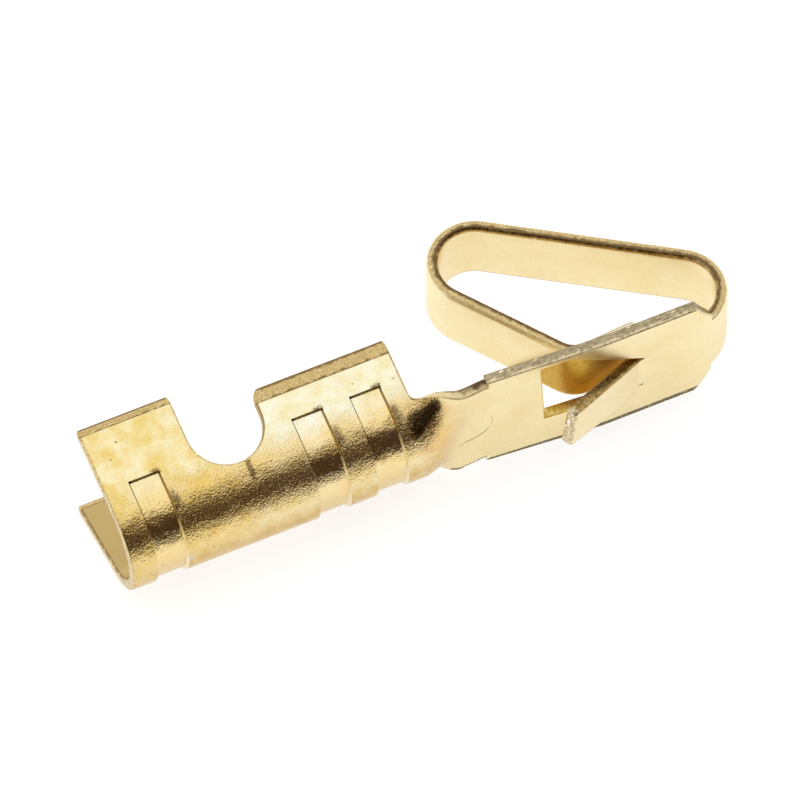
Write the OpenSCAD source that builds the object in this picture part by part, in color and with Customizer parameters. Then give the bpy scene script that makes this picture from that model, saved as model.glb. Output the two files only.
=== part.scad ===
// Female crimp terminal, folded from one strip of brass sheet and lying on its side.
// Millimetres. X runs along the terminal from the wire end to the contact end, Y goes from the
// plate towards the open side of the crimp wings, and Z is up, across the terminal's width.
// The origin is the middle of the footprint, on the surface that the terminal lies on.

/* [Sheet] */
// Thickness of the brass sheet
sheet_t = 0.25; // [0.18:0.01:0.3]

/* [Crimp barrel] */
// Outer radius of the round bottom of both barrels
base_r = 1.24; // [1.1:0.02:1.4]
// Length of the insulation wings
insulation_l = 2.06; // [1.7:0.02:2.6]
// Height of the insulation wings up to their coined tips
insulation_h = 2.71; // [2.4:0.02:3]
// Width across the insulation wings where their coined tips begin
wing_spread = 3.2; // [3:0.02:3.5]
// Length of the conductor wings
conductor_l = 3.02; // [2.8:0.02:3.6]
// Height of the conductor wings up to their coined tips
conductor_h = 2.19; // [1.9:0.02:2.4]
// Width of the round-bottomed slot between the wings
slot_w = 1.61; // [1.2:0.01:1.8]
// Height of the slot's lowest point over the barrel's bottom
slot_floor = 1.07; // [0.9:0.01:1.2]
// Length of the coined band at the wing tips
coin_l = 0.2; // [0.1:0.01:0.3]
// Depth that the coined band takes off each face
coin_d = 0.07; // [0.03:0.01:0.08]
// Corner radius of the wing tips
wing_corner_r = 0.16; // [0.08:0.01:0.25]
// Corner radius of the conductor wing's rear tip, which leads the wire in
lead_corner_r = 0.34; // [0.2:0.01:0.5]

/* [Pressed grooves] */
// Width of each groove
groove_w = 0.7; // [0.5:0.01:0.85]
// Depth that the grooves are pressed in
groove_d = 0.075; // [0.04:0.005:0.1]
// Height on the walls at which the grooves end
groove_top = 1.5; // [1.3:0.02:1.7]
// Distance of the insulation groove's middle from the wire end
insulation_groove_x = 0.9; // [0.7:0.01:1.1]
// Distance of the first conductor groove's middle from its wing's rear edge
conductor_groove_x = 0.89; // [0.7:0.01:1.1]
// Spacing of the conductor grooves
groove_pitch = 1.3; // [1:0.01:1.4]
// Number of conductor grooves
conductor_grooves = 2; // [1:1:2]

/* [Neck] */
// Length of the neck between the barrel and the plate
neck_l = 1.5; // [1.2:0.02:1.8]
// Width of the neck where it meets the plate
neck_w = 2.76; // [2.5:0.02:2.9]
// Length of the flat run at the end of the neck, before the plate
run_l = 0.5; // [0.3:0.02:0.7]
// Height of the flat run's outer face over the barrel's bottom, where it begins
run_rise = 0.46; // [0.3:0.01:0.48]

/* [Plate] */
// Whole length of the terminal
overall_l = 13.92; // [13.4:0.02:15]
// Width of the plate at its front
plate_w = 3.2; // [3:0.02:3.5]
// Width of the plate at its rear end
plate_rear_w = 3.08; // [3:0.02:3.4]
// Height of the plate's outer face over the barrel's bottom, at its rear end
plate_rise = 0.49; // [0.3:0.01:0.6]
// How far the plate's outer face falls again towards its front
plate_drop = 0.18; // [0.05:0.01:0.25]
// Length over which the plate falls
plate_drop_l = 2.56; // [1.8:0.02:3]
// Length of the slanted corners at the plate's nose
nose_l = 0.4; // [0.2:0.02:0.6]
// How far the slanted corners run in on each side
nose_in = 0.56; // [0.3:0.02:0.7]
// How far the slanted corners begin behind the front bend
nose_back = 0.06; // [0:0.02:0.4]

/* [Window and lance] */
// Distance of the window's rear edge from the plate's rear end
window_x = 1.18; // [1:0.01:1.6]
// Length of the window up to the lance's root
window_l = 2.28; // [2.1:0.01:2.6]
// How far the window's rear edge leans forward at its lower end
window_lean = 0.09; // [0:0.01:0.15]
// Width of the rim over the window
window_rim = 0.17; // [0.12:0.01:0.3]
// Width of the plate left under the window
window_sill = 1.06; // [0.9:0.01:1.2]
// Length of the window's straight upper edge
window_shoulder = 0.64; // [0.4:0.01:0.9]
// Height of the lance at its root
lance_root_w = 1.04; // [0.8:0.01:1.2]
// Height of the lance at its tip
lance_tip_w = 0.98; // [0.7:0.01:1.1]
// How far the lance's tip rises over its root
lance_rise = 0.87; // [0.6:0.01:1]
// Length of the lance along its straight part
lance_l = 2.4; // [2:0.01:2.5]
// How far the lance's tip is cut back at its upper corner
lance_rake = 0.2; // [0:0.01:0.3]
// Angle at which the lance stands out from the plate
lance_angle = 30; // [20:0.5:36]
// Inner radius of the lance's fold
lance_fold_r = 0.3; // [0.2:0.01:0.5]
// Width of the shear cut on both sides of the lance's root
lance_cut = 0.04; // [0.02:0.005:0.08]

/* [Contact loop] */
// Width of the loop's strip
strip_w = 1.75; // [1.4:0.01:2]
// Height of the loop over the plate's outer face
loop_h = 4.39; // [4:0.01:4.8]
// Outer radius of the front bend and of the crown
bend_r = 1.02; // [0.9:0.01:1.15]
// Slope of the loop's top run
top_slope = 33.5; // [30:0.5:38]
// Slope of the run that returns to the plate
return_slope = 54; // [48:0.5:60]
// Outer radius of the foot bend
foot_r = 0.72; // [0.5:0.01:0.9]
// Gap between the foot bend and the plate
foot_gap = 0.18; // [0.1:0.01:0.3]
// Length of the straight tail past the foot bend
tail_l = 1.1; // [0.6:0.01:1.3]
// Slope at which the tail rises from the plate again
tail_slope = 4; // [0:0.5:20]

/* [Hidden] */
$fn = 96;
brass = [0.86, 0.72, 0.42];
// Turn between neighbouring points of a bend
bend_step = 4;
// Sections along the neck's opening and along its flat run, and facets on each side of its middle
opening_steps = 10;
run_steps = 4;
neck_facets = 12;
// Overshoot of cutting shapes past the faces that they cut
past = 0.5;
// How far a piece reaches into the one that it grows out of, and how far inside its faces
root = 0.1;
seam = 0.004;
inner_t = sheet_t - 2 * seam;

// Barrel: flat walls leave the round bottom and reach the stated spread where their tips begin
wall_r = base_r - seam;
tip_y = insulation_h - base_r;
tip_z = wing_spread / 2;
insulation_wall = sqrt(tip_y * tip_y + tip_z * tip_z - wall_r * wall_r);
flare = atan2(tip_z, tip_y) - atan2(wall_r, insulation_wall);
conductor_wall = (conductor_h - base_r + wall_r * sin(flare)) / cos(flare);
wall_reach = insulation_wall + coin_l + past;
tip_rise = coin_l * cos(flare) + sheet_t * sin(flare);
bottom_half = 90 - flare;
conductor_x = insulation_l + slot_w;
barrel_l = conductor_x + conductor_l;
slot_r = slot_w / 2;

// Plate and loop, seen from above
plate_x = barrel_l + neck_l;
plate_y = plate_rise - plate_drop;
kink_x = plate_x + plate_drop_l;
drop_angle = atan2(plate_drop, plate_drop_l);
drop_t = sheet_t / cos(drop_angle);
inner_kink_x = kink_x + sheet_t * tan(drop_angle / 2);
front_c = [overall_l - bend_r, plate_y + bend_r];
nose_x = front_c.x - nose_back;
nose_end = nose_x + nose_l;
top_normal = 90 - top_slope;
return_normal = 270 - return_slope;
top_run = (loop_h - 2 * bend_r) / sin(top_slope);
crown_c = front_c + top_run * heading(180 - top_slope);
foot_y = plate_y + sheet_t + foot_gap + foot_r;
swing_c = crown_c + (bend_r - foot_r) * heading(return_normal);
return_run = (swing_c.y - foot_y) / sin(return_slope);
foot_c = swing_c + return_run * heading(-return_slope);

// Window and lance
window_x0 = plate_x + window_x;
root_x = window_x0 + window_l;
sill_z = window_sill - plate_w / 2;
rim_z = plate_w / 2 - window_rim;
lance_lo = sill_z + lance_cut;
lance_hi = sill_z + lance_root_w - lance_cut;
lance_c = [root_x, plate_y - lance_fold_r];
fold_x = lance_fold_r * sin(lance_angle);
lance_run = lance_l * cos(lance_angle);
tip_x = root_x - fold_x - lance_run;
tip_lo = (lance_lo + lance_hi - lance_tip_w) / 2 + lance_rise;
tip_hi = tip_lo + lance_tip_w;
lance_tip_y = lance_c.y + lance_fold_r * cos(lance_angle) - lance_l * sin(lance_angle);

// Footprint
floor_z = -max(plate_w, wing_spread) / 2;
back_y = plate_y + loop_h - seam;
near_y = min(0, lance_tip_y + seam * cos(lance_angle));
front_x = overall_l - seam;

function heading(a) = [cos(a), sin(a)];
function ease(s) = s * s * (3 - 2 * s);
function reversed(list) = [for (i = [len(list) - 1 : -1 : 0]) list[i]];

// Points of an arc, from one angle to another
function arc(c, r, from, to) =
    let (n = ceil(abs(to - from) / bend_step))
    [for (k = [0 : n]) c + r * heading(from + (to - from) * k / n)];

// Stands a section drawn in Y and Z on the X axis, from x0 to x1
module along(x0, x1) {
    translate([x0, 0, 0])
        rotate([90, 0, 90])
            linear_extrude(x1 - x0)
                children();
}

// Extrudes a side view drawn in X and Y over a width about the middle
module across(w) {
    translate([0, 0, -w / 2])
        linear_extrude(w)
            children();
}

// Extrudes a front view drawn in X and Z from y0 to y1
module through(y0, y1) {
    translate([0, y1, 0])
        rotate([90, 0, 0])
            linear_extrude(y1 - y0)
                children();
}

// Places a drawing at both walls of the barrel: along the wall, and outwards from the axis
module both_walls() {
    for (side = [0, 1])
        mirror([0, side])
            translate([base_r, 0])
                rotate(flare)
                    children();
}

// Everything inside the barrel's surface at a depth under its outer face
module hollow(depth) {
    translate([base_r, 0])
        circle(base_r - depth);
    ends = [for (l = [0, wall_reach]) l * heading(flare) + (wall_r - depth) * heading(90 + flare)];
    translate([base_r, 0])
        polygon([ends[0], ends[1], [ends[1].x, -ends[1].y], [ends[0].x, -ends[0].y]]);
}

// Sheet of the barrel between two depths
module barrel_sheet(outer, inner) {
    difference() {
        hollow(outer);
        hollow(inner);
    }
}

// Everything inside a ridge's crest, which is pressed as a chain of narrow flats
module inside_ridge() {
    r = base_r - sheet_t - groove_d;
    end = wall_reach * heading(flare) + r * heading(90 + flare);
    translate([base_r, 0])
        polygon(concat([end], arc([0, 0], r, 90 + flare, 270 - flare), [[end.x, -end.y]]));
}

// What is cut off past the end of a wall, which leaves a coined tip
module tip_cut(l) {
    both_walls()
        polygon([
            [l, wall_r + past],
            [l, wall_r],
            [l + coin_l, wall_r - coin_d],
            [l + coin_l, wall_r - sheet_t + coin_d],
            [l, wall_r - sheet_t],
            [l, wall_r - sheet_t - coin_l],
            [wall_reach + past, wall_r - sheet_t - coin_l],
            [wall_reach + past, wall_r + past]]);
}

// Outline of both barrels from the side: the wings, and the round-bottomed slot between them
module barrel_view() {
    insulation_top = insulation_h + tip_rise;
    conductor_top = conductor_h + tip_rise;
    polygon(concat(
        [[0, -past]],
        arc([wing_corner_r, insulation_top - wing_corner_r], wing_corner_r, 180, 90),
        arc([insulation_l - wing_corner_r, insulation_top - wing_corner_r], wing_corner_r, 90, 0),
        arc([insulation_l + slot_r, slot_floor + slot_r], slot_r, 180, 360),
        arc([conductor_x + lead_corner_r, conductor_top - lead_corner_r], lead_corner_r, 180, 90),
        arc([barrel_l - wing_corner_r, conductor_top - wing_corner_r], wing_corner_r, 90, 0),
        [[barrel_l, -past]]));
}

module each_groove() {
    middles = concat(
        [insulation_groove_x],
        [for (k = [0 : conductor_grooves - 1]) conductor_x + conductor_groove_x + k * groove_pitch]);
    for (x = middles)
        along(x - groove_w / 2, x + groove_w / 2)
            intersection() {
                children();
                translate([-past, -wing_spread])
                    square([groove_top + past, 2 * wing_spread]);
            }
}

// Both crimp barrels, with the grooves pressed in from outside as ridges inside
module barrel() {
    middle = insulation_l + slot_r;
    intersection() {
        union() {
            difference() {
                along(-past, barrel_l + past)
                    barrel_sheet(0, sheet_t);
                along(-2 * past, middle)
                    tip_cut(insulation_wall);
                along(middle, barrel_l + 2 * past)
                    tip_cut(conductor_wall);
                each_groove()
                    barrel_sheet(-past, groove_d);
            }
            each_groove()
                difference() {
                    hollow(sheet_t / 2);
                    inside_ridge();
                }
        }
        across(wing_spread + 2 * past)
            barrel_view();
    }
}

// A point of the neck's sheet at x: s goes from 0 to 1 along its opening and on to 2 along its flat
// run, f goes across it, and d is the depth in the sheet
function neck_point(x, s, f, d) =
    let (
        opened = min(1, s),
        run = max(0, s - 1),
        bend = bottom_half * (1 - ease(opened)),
        half = (1 - opened) * base_r * bottom_half * PI / 180 + opened * neck_w / 2,
        a = f * bend,
        r = bend > 0 ? half * 180 / (PI * bend) : 0,
        z = bend > 0 ? r * sin(a) : f * half,
        rise = run_rise * (opened + ease(opened)) / 2 + (plate_rise - run_rise) * ease(run),
        y = rise + (bend > 0 ? r * (1 - cos(a)) : 0)
    )
    [x, y + d * cos(a), z - d * sin(a)];

// The neck: the round bottom of the barrel opens out flat as it rises to the plate
module neck() {
    columns = [for (j = [-neck_facets : neck_facets]) j / neck_facets];
    stations = concat(
        [[barrel_l - root, 0]],
        [for (i = [0 : opening_steps]) [barrel_l + (neck_l - run_l) * i / opening_steps, i / opening_steps]],
        [for (i = [1 : run_steps]) [plate_x - run_l * (1 - i / run_steps), 1 + i / run_steps]],
        [[plate_x + root, 2]]);
    ring = 2 * len(columns);
    last = len(stations) - 1;
    points = [for (p = stations) each concat(
        [for (f = columns) neck_point(p[0], p[1], f, seam)],
        [for (f = reversed(columns)) neck_point(p[0], p[1], f, sheet_t - seam)])];
    sides = [for (i = [0 : last - 1]) for (j = [0 : ring - 1])
        let (a = i * ring + j, b = i * ring + (j + 1) % ring)
        each [[a, b, b + ring], [a, b + ring, a + ring]]];
    ends = [for (j = [0 : len(columns) - 2])
        let (a = j, b = j + 1, c = ring - 2 - j, d = ring - 1 - j, e = last * ring)
        each [[d, c, b, a], [e + a, e + b, e + c, e + d]]];
    polyhedron(points, concat(sides, ends));
}

// Side view of the plate, up to where the strip leaves it on the front bend
module plate_profile() {
    polygon(concat(
        [[plate_x, plate_rise], [kink_x, plate_y]],
        arc(front_c, bend_r, -90, 0),
        arc(front_c, bend_r - sheet_t, 0, -90),
        [[inner_kink_x, plate_y + sheet_t], [plate_x, plate_rise + drop_t]]));
}

// Front view of the plate: full width, then slanted corners down to the strip
module plate_view() {
    half = plate_w / 2;
    rear_half = plate_rear_w / 2;
    polygon([
        [plate_x, -rear_half],
        [kink_x, -half],
        [nose_x, -half],
        [nose_end, nose_in - half],
        [nose_end, half - nose_in],
        [nose_x, half],
        [kink_x, half],
        [plate_x, rear_half]]);
}

// Front view of the window, which the slanted lance is cut from
module window_view() {
    polygon([
        [window_x0 + window_lean, sill_z],
        [window_x0, rim_z],
        [window_x0 + window_shoulder, rim_z],
        [root_x - lance_cut, lance_hi + lance_cut],
        [root_x, lance_hi + lance_cut],
        [root_x, sill_z]]);
}

module plate() {
    difference() {
        intersection() {
            across(plate_w)
                plate_profile();
            through(-past, back_y)
                plate_view();
        }
        through(-past, plate_rise + sheet_t + past)
            window_view();
    }
}

// Front view of the lance as it stands out
module lance_view() {
    polygon([
        [root_x + root, lance_lo],
        [root_x + root, lance_hi],
        [root_x - fold_x, lance_hi],
        [tip_x + lance_rake, tip_hi],
        [tip_x, tip_lo],
        [root_x - lance_run / 3, lance_lo]]);
}

// The lance, folded out of the window
module lance() {
    bend = 90 + lance_angle;
    outer_r = lance_fold_r + seam;
    inner_r = outer_r + inner_t;
    tip = lance_l * heading(bend + 90);
    intersection() {
        across(plate_w)
            polygon(concat(
                [lance_c + [2 * root, inner_r], lance_c + [2 * root, outer_r]],
                arc(lance_c, outer_r, 90, bend),
                [lance_c + outer_r * heading(bend) + tip, lance_c + inner_r * heading(bend) + tip],
                arc(lance_c, inner_r, bend, 90)));
        through(lance_tip_y - past, plate_y + sheet_t + past)
            lance_view();
    }
}

// One face of the loop's strip, at a depth under its outer face
function strip_face(d) = concat(
    [front_c + [-root, d - bend_r]],
    arc(front_c, bend_r - d, -90, top_normal),
    arc(crown_c, bend_r - d, top_normal, return_normal),
    arc(foot_c, foot_r - d, return_normal, 270 + tail_slope),
    [foot_c + (foot_r - d) * heading(270 + tail_slope) + tail_l * heading(tail_slope)]);

// The contact loop: front bend, top run, crown, return run, foot bend and tail
module loop() {
    across(strip_w)
        polygon(concat(strip_face(seam), reversed(strip_face(sheet_t - seam))));
}

module terminal() {
    color(brass)
        translate([-front_x / 2, -(near_y + back_y) / 2, -floor_z]) {
            barrel();
            neck();
            plate();
            lance();
            loop();
        }
}

terminal();
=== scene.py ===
# %% [markdown]
# # A crimp terminal, folded from one strip of brass
#
# A female crimp terminal is stamped flat and then folded. The wire goes into a round-bottomed
# barrel with two pairs of wings, a flat plate carries a locking lance, and the strip at the front
# is bent round into a spring loop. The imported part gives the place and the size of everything, so
# the first step is to load it and to keep its box, which the finished piece has to stay inside.

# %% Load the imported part
import math

import bpy
import numpy as np
from mathutils import Matrix, Vector


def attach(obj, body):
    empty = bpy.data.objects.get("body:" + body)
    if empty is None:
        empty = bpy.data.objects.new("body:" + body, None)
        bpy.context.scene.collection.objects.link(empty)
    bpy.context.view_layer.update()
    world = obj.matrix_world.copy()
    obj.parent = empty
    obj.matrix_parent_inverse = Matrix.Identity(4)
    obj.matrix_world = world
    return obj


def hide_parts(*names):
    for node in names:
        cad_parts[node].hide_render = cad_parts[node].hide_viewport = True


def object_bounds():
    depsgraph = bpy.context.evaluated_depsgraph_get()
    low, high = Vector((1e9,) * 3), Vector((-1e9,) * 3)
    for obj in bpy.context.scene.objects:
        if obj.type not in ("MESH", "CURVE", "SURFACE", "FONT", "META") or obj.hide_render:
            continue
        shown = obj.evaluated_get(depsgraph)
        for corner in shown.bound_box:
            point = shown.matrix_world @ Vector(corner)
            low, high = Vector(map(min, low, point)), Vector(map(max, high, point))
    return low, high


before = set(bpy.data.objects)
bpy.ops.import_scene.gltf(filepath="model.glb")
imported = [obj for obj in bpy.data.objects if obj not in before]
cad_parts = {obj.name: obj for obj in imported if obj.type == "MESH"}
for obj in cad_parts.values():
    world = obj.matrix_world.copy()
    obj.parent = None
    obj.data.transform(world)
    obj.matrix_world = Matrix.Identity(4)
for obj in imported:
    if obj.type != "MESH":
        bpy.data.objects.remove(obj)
solid_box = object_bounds()
print("nodes:", sorted(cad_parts))
print("solid box:", [[round(c, 6) for c in corner] for corner in solid_box])

# %% [markdown]
# ## One skin, drawn as the sheet is folded
#
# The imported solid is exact, but its facets would show in a mirror-bright metal. A sheet is best
# drawn the way that it is made, as one thin skin. Each of its points is a pair, one on the outer
# face and one straight behind it on the inner face, with the radius that its edge is rounded by.
# Flat areas are single faces with many corners, and bent areas are fine grids. Points that lie in
# the same place are shared, so the areas grow together by themselves.

# %% A skin of paired points, in millimetres
MM = 0.001
sheet_t = 0.25
hair = 1e-6

outer_points, inner_points, edge_radii = [], [], []
skin_faces, skin_areas = [], []
point_at, coin_share = {}, {}


def skin_point(outer, inner, edge_r):
    """The number of the skin's point there, which is made if it is new."""
    key = tuple(round(float(c), 4) + 0.0 for c in outer)
    if key not in point_at:
        point_at[key] = len(outer_points)
        outer_points.append(np.array(outer, float))
        inner_points.append(np.array(inner, float))
        edge_radii.append(edge_r)
    return point_at[key]


def skin_face(corners, area):
    """Adds a face, turned so that it looks outwards."""
    loop = [c for k, c in enumerate(corners) if c != corners[k - 1]]
    if len(loop) < 3:
        return
    ring = np.array([outer_points[k] for k in loop])
    turn = np.cross(ring, np.roll(ring, -1, axis=0)).sum(0)
    away = sum(outer_points[k] - inner_points[k] for k in loop)
    skin_faces.append(loop if turn @ away > 0 else loop[::-1])
    skin_areas.append(area)


def skin_grid(rows, area):
    """Adds the four-sided faces between rows of points."""
    for a, b in zip(rows, rows[1:]):
        for k in range(len(a) - 1):
            skin_face([a[k], a[k + 1], b[k + 1], b[k]], area)


def heading(degrees):
    return np.array([math.cos(math.radians(degrees)), math.sin(math.radians(degrees))])


def share_between(low, high, value):
    """0 up to the low value, 1 from the high one on, and a straight rise between them."""
    return min(1, max(0, (value - low) / (high - low)))


def ease(s):
    return s * s * (3 - 2 * s)


def bowed(a, b, c, t):
    """A place on a curve from a to c that is drawn towards b."""
    return (1 - t) ** 2 * a + 2 * t * (1 - t) * b + t * t * c


print("sheet thickness:", sheet_t, "mm")

# %% [markdown]
# ## The barrel's round bottom
#
# Seen from the end, the barrel is a U: a round bottom and two flat walls that lean outwards and
# touch it. Bands are pressed into it from outside, which grip the wire from inside. A band only
# moves the sheet inwards, so both of its faces move by the same depth, and a narrow slope leads
# down into it on each side.

# %% Sizes of the barrel
base_r = 1.24
insulation_l, insulation_h, wing_spread = 2.06, 2.71, 3.2
conductor_l, conductor_h = 3.02, 2.19
slot_w, slot_floor = 1.61, 1.07
coin_l, coin_d = 0.2, 0.07
long_coin_l = 0.34
wing_corner_r, lead_corner_r = 0.16, 0.34
groove_w, groove_d, groove_top, groove_slope = 0.7, 0.075, 1.5, 0.035
insulation_groove_x, conductor_groove_x, groove_pitch = 0.9, 0.89, 1.3
fillet_l = 0.2
barrel_edge_r, coin_edge_r = 0.045, 0.05

tip_y, tip_z = insulation_h - base_r, wing_spread / 2
insulation_wall = math.sqrt(tip_y**2 + tip_z**2 - base_r**2)
flare = math.degrees(math.atan2(tip_z, tip_y) - math.atan2(base_r, insulation_wall))
lean = math.radians(flare)
conductor_wall = (conductor_h - base_r + base_r * math.sin(lean)) / math.cos(lean)
bottom_half = 90 - flare
conductor_x = insulation_l + slot_w
barrel_l = conductor_x + conductor_l
slot_r = slot_w / 2
second_groove = conductor_x + conductor_groove_x
grooves = [insulation_groove_x, second_groove, second_groove + groove_pitch]
print("the walls lean out by", round(flare, 2), "degrees")

# %% The U section, and the grid of its round bottom
def barrel_point(x, angle, l, depth, back=None, edge_r=barrel_edge_r):
    """A point of the barrel: an angle round its bottom, or a length l up the wall beside it."""
    side = 1 if angle > 0 else -1
    a = math.radians(angle)

    def at(d):
        y = base_r - (base_r - d) * math.cos(a)
        z = (base_r - d) * math.sin(a)
        return [x, y + l * math.cos(lean), z + side * l * math.sin(lean)]

    return skin_point(at(depth), at(sheet_t + depth if back is None else back), edge_r)


columns = np.linspace(-1, 1, 49)
stations = [(0.0, 0.0)]
for middle in grooves:
    for side, sunk in ((-1, 0), (-1, 1), (1, 1), (1, 0)):
        x = middle + side * (groove_w / 2 - sunk * groove_slope)
        stations.append((x, sunk * groove_d))
stations.append((barrel_l, 0.0))

rows = [[barrel_point(x, f * bottom_half, 0, depth) for f in columns] for x, depth in stations]
# A band's slopes get a painted highlight along the underside, and painted shade from this share up
painted_shade_from = int(np.argmin(abs(columns - 0.67)))
for k, row in enumerate(rows[:-1]):
    depth, next_depth, following = stations[k][1], stations[k + 1][1], rows[k + 1]
    if depth == next_depth:
        skin_grid([row, following], "pressed" if depth else "barrel")
    else:
        skin_grid([row[: painted_shade_from + 1], following[: painted_shade_from + 1]], "groove foot")
        skin_grid([row[painted_shade_from:], following[painted_shade_from:]], "groove side")
print("round bottom:", len(skin_faces), "faces between", len(stations), "stations")

# %% [markdown]
# ## The wings
#
# Each wall is flat, so it is one face whose outline runs along the round bottom, up round the
# pressed bands, and over both wings and the round slot between them. The tips of the wings are
# coined thin, so that they curl into the wire when they are crimped: there the outer face goes in
# and the inner face comes out by the same depth.

# %% Outline of a wall, from the side
wall_foot_y = base_r * (1 - math.cos(math.radians(bottom_half)))
tip_rise = coin_l * math.cos(lean) + sheet_t * math.sin(lean)


def up_the_wall(y):
    return (y - wall_foot_y) / math.cos(lean)


def rounded(r, top, from_y, to_y, steps=8):
    """Points of a wing's rounded upper corner: how far it is cut in, and its height."""
    low = top - r
    heights = [y for y in np.linspace(low, to_y, steps) if y >= from_y - hair]
    return [(r - math.sqrt(max(r * r - (y - low) ** 2, 0)), y) for y in heights]


def wall(side):
    """One wall of the barrel with its two wings: its flat face, its pressed bands and its tips."""
    angle = side * bottom_half

    def p(x, l, depth=0.0, back=None, edge_r=barrel_edge_r):
        return barrel_point(x, angle, l, depth, back, edge_r)

    def coined(x, l, wall_l, band_l):
        share = share_between(wall_l, wall_l + band_l, l)
        made = p(x, l, share * coin_d, sheet_t - share * coin_d, coin_edge_r)
        coin_share[made] = share
        return made

    groove_l = up_the_wall(groove_top)
    foot = [p(0, 0)]
    for middle in grooves:
        x0, x1 = middle - groove_w / 2, middle + groove_w / 2
        lip = [p(x0, 0), p(x0, groove_l), p(x1, groove_l), p(x1, 0)]
        floor_l = groove_l - groove_slope
        x0, x1 = x0 + groove_slope, x1 - groove_slope
        sunk = [(x0, 0), (x0, floor_l), (x1, floor_l), (x1, 0)]
        sunk = [p(x, l, groove_d) for x, l in sunk]
        # The slopes round a band on the wall get the same painted shade as the band's upper slopes
        skin_grid([lip, sunk], "groove side")
        skin_face(sunk, "pressed")
        foot += lip
    foot += [p(barrel_l, 0), p(barrel_l, fillet_l)]

    wings = []
    for x0, x1, height, end_l, band_l, r0 in (
        (conductor_x, barrel_l, conductor_h, conductor_wall, long_coin_l, lead_corner_r),
        (0, insulation_l, insulation_h, insulation_wall, coin_l, wing_corner_r),
    ):
        top = height + tip_rise
        wall_l = end_l + coin_l - band_l
        tip = wall_foot_y + (wall_l + band_l) * math.cos(lean)
        coin_y = wall_foot_y + wall_l * math.cos(lean)
        front = [(x1 - cut, up_the_wall(y)) for cut, y in rounded(wing_corner_r, top, coin_y, tip)]
        rear = [(x0 + cut, up_the_wall(y)) for cut, y in rounded(r0, top, top - r0, tip)]
        below = [q for q in rear if q[1] < wall_l - hair]
        above = [q for q in rear if q[1] > wall_l + hair]
        if below:
            share = (wall_l - below[-1][1]) / (above[0][1] - below[-1][1])
            turn_x = below[-1][0] + share * (above[0][0] - below[-1][0])
        else:
            turn_x = x0
        band = [(x1, wall_l), *front, *above[::-1], (turn_x, wall_l)]
        skin_face([coined(x, l, wall_l, band_l) for x, l in band], "tip")
        ends = [[coined(x, wall_l, wall_l, band_l)] for x in (x1, turn_x)]
        wings.append((ends[0], ends[1] + [p(x, l) for x, l in below[::-1]]))

    slot_c = (insulation_l + slot_r, slot_floor + slot_r)
    slot = []
    for turn in np.linspace(360, 180, 41):
        x, y = slot_c + slot_r * heading(turn)
        slot.append(p(x, up_the_wall(y)))
    outline = foot + wings[0][0] + wings[0][1] + slot + wings[1][0] + wings[1][1]
    skin_face(outline, "barrel")


wall(1)
wall(-1)
print("barrel with its wings:", len(skin_faces), "faces")

# %% [markdown]
# ## The neck
#
# Between the barrel and the plate the round bottom opens out flat while it rises. Each section of
# the neck is an arc of the same sheet, whose bend fades away and whose width goes over to the
# plate's. A flat run then leads on to the plate. Where the wings end, a small web fills the corner
# between them and the neck.

# %% The neck
neck_l, neck_w, run_l, run_rise = 1.5, 2.76, 0.5, 0.46
neck_edge_r = 0.04
plate_w, plate_rear_w = 3.2, 3.08
plate_rise, plate_drop, plate_drop_l = 0.49, 0.18, 2.56
plate_x = barrel_l + neck_l
kink_x = plate_x + plate_drop_l


def neck_point(x, s, f):
    """A point of the neck: s goes from 0 to 1 along its opening and on to 2 along its flat run."""
    opened, run = min(1, s), max(0, s - 1)
    bend = math.radians(bottom_half) * (1 - ease(opened))
    half = (1 - opened) * base_r * math.radians(bottom_half) + opened * neck_w / 2
    a = f * bend
    y = run_rise * (opened + ease(opened)) / 2 + (plate_rise - run_rise) * ease(run)
    z = f * half
    if bend > hair:
        r = half / bend
        y += r * (1 - math.cos(a))
        z = r * math.sin(a)
    behind = [x, y + sheet_t * math.cos(a), z - sheet_t * math.sin(a)]
    return skin_point([x, y, z], behind, neck_edge_r)


opening = [(barrel_l + (neck_l - run_l) * s, s) for s in np.linspace(0, 1, 21)]
flat_run = [(plate_x - run_l * (1 - s), 1 + s) for s in np.linspace(0, 1, 9)[1:]]
rows = [[neck_point(x, s, f) for f in columns] for x, s in opening + flat_run]
skin_grid(rows, "neck")

for side in (-1, 1):
    beside = [row[0 if side < 0 else -1] for row in rows[:5]]
    on_wall = barrel_point(barrel_l, side * bottom_half, fillet_l, 0)
    web = [on_wall, *beside]
    corners = (on_wall, beside[0], beside[-1])
    for t in np.linspace(1, 0, 8)[1:-1]:
        pair = [bowed(*(side[k] for k in corners), t) for side in (outer_points, inner_points)]
        web.append(skin_point(*pair, neck_edge_r))
    skin_face(web, "neck")
print("neck:", len(rows), "rows of", len(columns), "points, and a web on each side")

# %% [markdown]
# ## The plate, its window and the lance
#
# The plate is two flat areas that meet at a slight kink, which runs through the window. The lance
# is cut from the window's own metal on three sides and bent out at the fourth, so it shares an edge
# with the plate there: the fold is a small arc, and the rest of the lance is one flat face.

# %% Sizes of the plate, the window and the lance
plate_edge_r = 0.035
nose_l, nose_in, nose_back = 0.4, 0.56, 0.06
window_x, window_l, window_lean = 1.18, 2.28, 0.09
window_rim, window_sill, window_shoulder = 0.17, 1.06, 0.64
lance_root_w, lance_tip_w, lance_rise, lance_l = 1.04, 0.98, 0.87, 2.4
lance_rake, lance_angle, lance_fold_r = 0.2, 30, 0.3
lance_upper_r, lance_lower_r = 0.1, 0.12
overall_l, strip_w, loop_h, bend_r = 13.92, 1.75, 4.39, 1.02

front_y = plate_rise - plate_drop
front_c = np.array([overall_l - bend_r, front_y + bend_r])
nose_x = front_c[0] - nose_back
nose_end = nose_x + nose_l
half_w, half_strip = plate_w / 2, strip_w / 2
window_x0 = plate_x + window_x
root_x = window_x0 + window_l
sill_z, rim_z = window_sill - half_w, half_w - window_rim
lance_lo, lance_hi = sill_z, sill_z + lance_root_w
strip_columns = np.linspace(-half_strip, half_strip, 9)


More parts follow.
